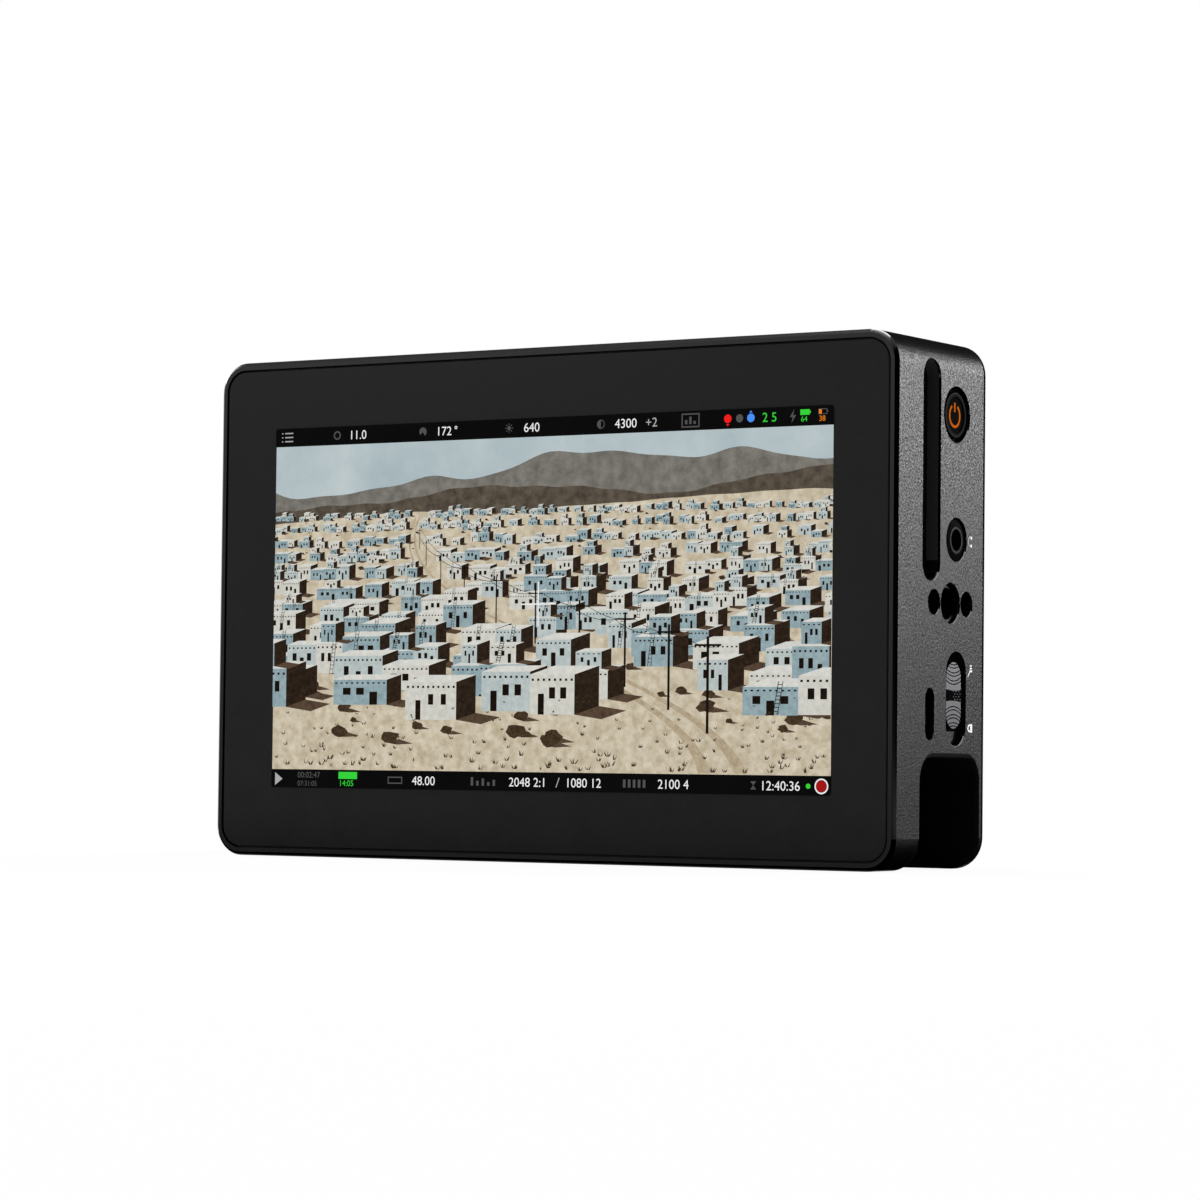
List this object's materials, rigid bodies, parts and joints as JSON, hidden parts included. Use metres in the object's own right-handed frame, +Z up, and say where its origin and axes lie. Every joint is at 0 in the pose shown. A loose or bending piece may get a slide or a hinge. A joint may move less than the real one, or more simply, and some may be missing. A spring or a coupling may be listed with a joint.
{
  "type": "camera field monitor",
  "caption": "Small slab-shaped touch-screen field monitor in a milled black body, with side controls, threaded side mounts, connector bays and a rear battery plate.",
  "frame": {"origin": "middle of the bounding box's footprint, on the surface that the monitor stands on", "axes": "+X to the viewer's right along the width, +Y away from the viewer, +Z up; the screen faces -Y"},
  "size_m": [0.1338, 0.0354, 0.0856],
  "materials": {
    "anodised_aluminium": "bead blasted, anodised black",
    "touch_glass": "black printed border, smooth",
    "foam_tape": "matt foam",
    "display": "lit picture",
    "backlight": "white diffuser",
    "flat_cable": "amber film",
    "bare_aluminium": "milled",
    "zinc_screw": "zinc plated",
    "circuit_board": "solder mask",
    "chip": "moulded",
    "black_plastic": "moulded, fine grain",
    "standoff_brass": "turned",
    "button_plastic": "satin",
    "smoked_lens": "smoked, lit from behind",
    "seal_rubber": "matt",
    "nickel_ring": "nickel plated",
    "socket_steel": "drawn shell",
    "knob_grey": "satin silver grey",
    "insert_steel": "blackened",
    "black_screw": "black oxide",
    "plate_plastic": "glass filled nylon",
    "contact_metal": "gold plated",
    "spring_steel": "stamped"
  },
  "bodies": {
    "monitor": {"housing": "anodised_aluminium", "cover_glass": "touch_glass", "glass_gasket": "foam_tape", "lcd_panel": "display", "backlight_unit": "backlight", "display_flex": "flat_cable", "mid_plate": "bare_aluminium", "mid_plate_screws": "zinc_screw", "main_board": "circuit_board", "main_board_screws": "zinc_screw", "video_processor": "chip", "heat_sink": "bare_aluminium", "fan_frame": "black_plastic", "fan_screws": "zinc_screw", "io_board": "circuit_board", "io_board_standoffs": "standoff_brass", "io_board_screws": "zinc_screw", "board_connector": "black_plastic", "vent_screens": "black_plastic", "power_button_seal": "seal_rubber", "power_switch": "black_plastic", "headphone_jack": "black_plastic", "headphone_jack_ring": "nickel_ring", "usb_socket_shell": "socket_steel", "usb_socket_tongue": "black_plastic", "touch_lock_switch": "black_plastic", "hdmi_socket_shell": "socket_steel", "hdmi_socket_tongue": "black_plastic", "hdmi_socket_board": "circuit_board", "power_inlet": "black_plastic", "power_inlet_pin": "standoff_brass", "power_inlet_board": "circuit_board", "thread_inserts": "insert_steel", "rear_cover": "anodised_aluminium", "rear_cover_screws": "black_screw", "battery_plate": "plate_plastic", "battery_plate_screws": "black_screw", "battery_contacts": "contact_metal", "battery_latch_bracket": "spring_steel", "battery_latch_spring": "spring_steel"},
    "power_button": {"power_button": "button_plastic", "power_button_lens": "smoked_lens", "power_switch_plunger": "black_plastic"},
    "touch_lock_slider": {"touch_lock_knob": "knob_grey", "touch_lock_actuator": "black_plastic"},
    "fan_rotor": {"fan_rotor": "black_plastic"},
    "battery_latch": {"battery_latch": "plate_plastic"}
  },
  "joints": [
    {"name": "power_button_press", "type": "slide", "parent": "monitor", "child": "power_button", "axis": [-1, 0, 0], "range_m": [0, 0.0005], "stiffness_N_per_m": 2500, "springref_m": -0.0003},
    {"name": "touch_lock_slide", "type": "slide", "parent": "monitor", "child": "touch_lock_slider", "axis": [0, 0, 1], "range_m": [-0.002, 0]},
    {"name": "fan_spin", "type": "hinge", "parent": "monitor", "child": "fan_rotor", "pos_m": [-0.04, 0.0041, 0.0518], "axis": [0, 1, 0], "continuous": true},
    {"name": "battery_latch_press", "type": "slide", "parent": "monitor", "child": "battery_latch", "axis": [0, -1, 0], "range_m": [0, 0.0023], "stiffness_N_per_m": 600, "springref_m": -0.001, "deforming": ["battery_latch_spring"]}
  ]
}
